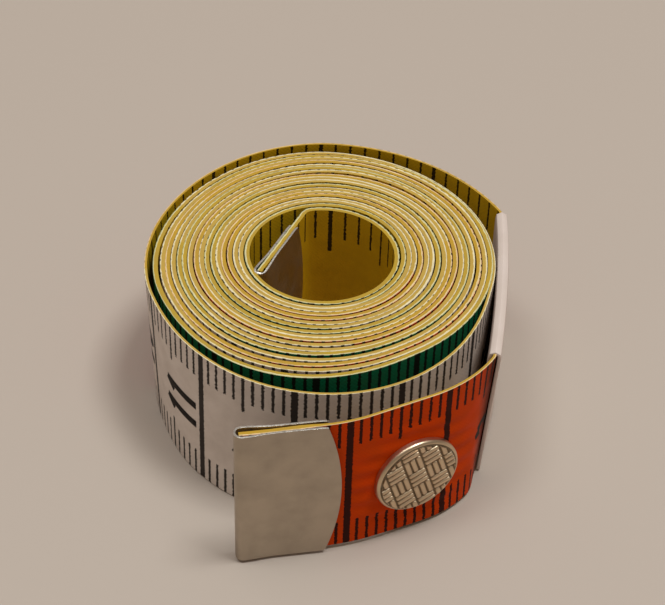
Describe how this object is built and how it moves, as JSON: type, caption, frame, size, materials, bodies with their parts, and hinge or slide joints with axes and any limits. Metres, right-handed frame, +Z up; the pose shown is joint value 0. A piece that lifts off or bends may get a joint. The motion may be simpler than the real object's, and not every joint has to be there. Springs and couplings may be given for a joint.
{
  "type": "tape measure",
  "caption": "Coated-cloth tailor's tape measure rolled on its edge, with folded metal end clips, a press-stud closing flap that swings open and a stiff white side sleeve.",
  "frame": {"origin": "middle of the part's footprint, on the surface it stands on", "axes": "+Z up along the roll's axis, -Y towards the closing flap, +X towards the white sleeve"},
  "size_m": [0.0364, 0.0448, 0.0166],
  "materials": {
    "tape_white": "satin coated cloth",
    "tape_orange": "satin coated cloth",
    "tape_yellow": "satin coated cloth",
    "sleeve_white": "matte",
    "clip_steel": "brushed",
    "cap_steel": "pressed pattern",
    "snap_steel": "plain"
  },
  "bodies": {
    "roll": {"tape_roll": "tape_white", "white_sleeve": "sleeve_white", "snap_stud": "snap_steel", "stud_eyelet": "snap_steel"},
    "closing_flap": {"tape_flap": "tape_orange", "outer_end_clip": "clip_steel", "snap_cap": "cap_steel", "cap_prong_ring": "snap_steel", "snap_socket": "snap_steel", "snap_spring": "snap_steel"},
    "inner_end": {"tape_inner_end": "tape_yellow", "inner_end_clip": "clip_steel"}
  },
  "joints": [
    {"name": "flap_swing", "type": "hinge", "parent": "roll", "child": "closing_flap", "pos_m": [0.01552, -0.01001, 0.0083], "axis": [0, 0, 1], "range_deg": [0, 130]},
    {"name": "inner_end_swing", "type": "hinge", "parent": "roll", "child": "inner_end", "pos_m": [-0.00251, 0.01071, 0.008], "axis": [0, 0, 1], "range_deg": [0, 50]}
  ]
}
